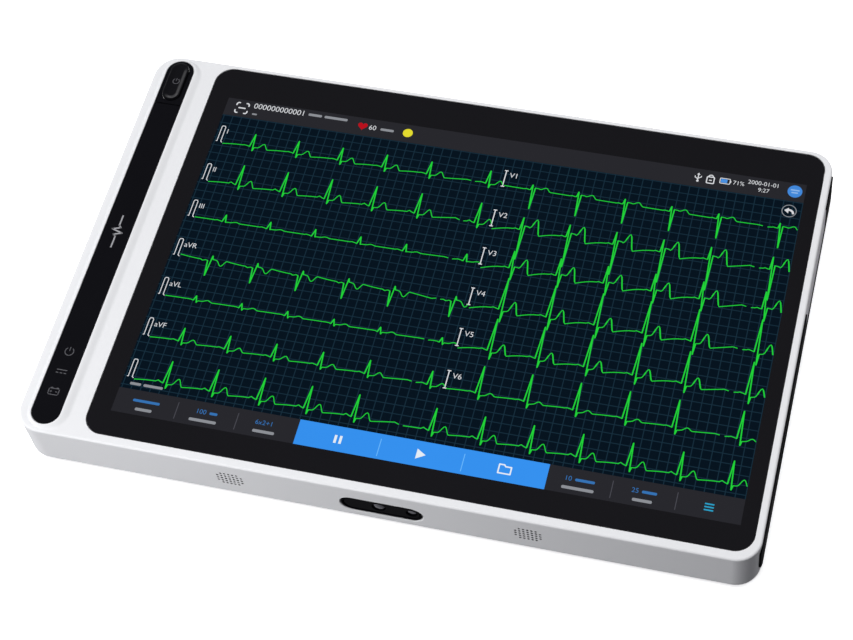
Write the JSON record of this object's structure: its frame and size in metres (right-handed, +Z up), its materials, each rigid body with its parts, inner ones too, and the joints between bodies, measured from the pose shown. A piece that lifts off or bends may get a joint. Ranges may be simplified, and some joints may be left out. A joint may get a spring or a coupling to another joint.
{
  "type": "ecg machine",
  "caption": "Flat tablet-style electrocardiograph with a large touch display, a side control strip with a power button, a front scanner window and sockets in one side wall.",
  "frame": {"origin": "middle of the surface that the machine rests on, under the middle of its outline", "axes": "+Z up out of the display, +X towards the wall with the sockets, -Y towards the wall with the scanner"},
  "size_m": [0.2567, 0.1634, 0.0228],
  "materials": {
    "white_plastic": "fine satin moulded texture",
    "screen_glass": "polished, black printed border",
    "scanner_glass": "polished dark tint",
    "lens_glass": "polished",
    "black_gloss": "gloss",
    "button_black": "satin",
    "black_plastic": "fine texture",
    "grey_plastic": "satin",
    "clear_plastic": "frosted clear",
    "black_rubber": "matte",
    "blue_rubber": "matte",
    "display_metal": "satin",
    "aluminium_sheet": "satin",
    "amber_film": "satin film",
    "board_green": "solder mask",
    "tin_plate": "bright tin plate",
    "steel": "plated",
    "battery_wrap": "film wrap",
    "red_wire": "satin"
  },
  "bodies": {
    "housing": {"front_shell": "white_plastic", "rear_cover": "white_plastic", "battery_cover": "white_plastic", "cover_glass": "screen_glass", "glass_gasket": "black_rubber", "lcd_panel": "display_metal", "mid_frame": "aluminium_sheet", "display_flex": "amber_film", "strip_inlay": "black_gloss", "button_bezel": "black_gloss", "power_switch": "black_plastic", "button_board": "board_green", "light_guides": "clear_plastic", "scanner_housing": "black_plastic", "scanner_window": "scanner_glass", "scanner_lens": "lens_glass", "aiming_light": "lens_glass", "scanner_engine": "black_plastic", "speaker_left": "black_plastic", "speaker_right": "black_plastic", "speaker_mesh_left": "black_rubber", "speaker_mesh_right": "black_rubber", "side_panel": "black_plastic", "port_cover_pin": "steel", "patient_socket": "tin_plate", "socket_lock_front": "steel", "socket_lock_back": "steel", "dc_inlet": "black_plastic", "usb_socket": "tin_plate", "card_socket": "tin_plate", "main_board": "board_green", "ecg_board": "board_green", "processor_shield": "tin_plate", "ecg_shield": "tin_plate", "heat_pad": "blue_rubber", "coin_cell": "steel", "board_link": "amber_film", "button_flex": "amber_film", "wifi_antenna": "amber_film", "main_board_screw_1": "steel", "main_board_screw_2": "steel", "ecg_board_screw_1": "steel", "ecg_board_screw_2": "steel", "battery_pack": "battery_wrap", "battery_contacts": "black_plastic", "speaker_lead_left": "red_wire", "speaker_lead_right": "red_wire", "rubber_foot_1": "black_rubber", "rubber_foot_2": "black_rubber", "rubber_foot_3": "black_rubber", "rubber_foot_4": "black_rubber", "case_screw_1": "steel", "case_screw_2": "steel", "case_screw_3": "steel", "case_screw_4": "steel", "battery_cover_screw_1": "steel", "battery_cover_screw_2": "steel"},
    "button": {"power_button": "button_black", "switch_plunger": "grey_plastic"},
    "flap": {"port_cover": "grey_plastic"}
  },
  "joints": [
    {"name": "power_button_press", "type": "slide", "parent": "housing", "child": "button", "axis": [0, 0, -1], "range_m": [0, 0.0005], "stiffness_N_per_m": 4000},
    {"name": "port_cover_hinge", "type": "hinge", "parent": "housing", "child": "flap", "pos_m": [0.1269, 0.0372, 0.0068], "axis": [0, 1, 0], "range_deg": [0, 100]}
  ]
}
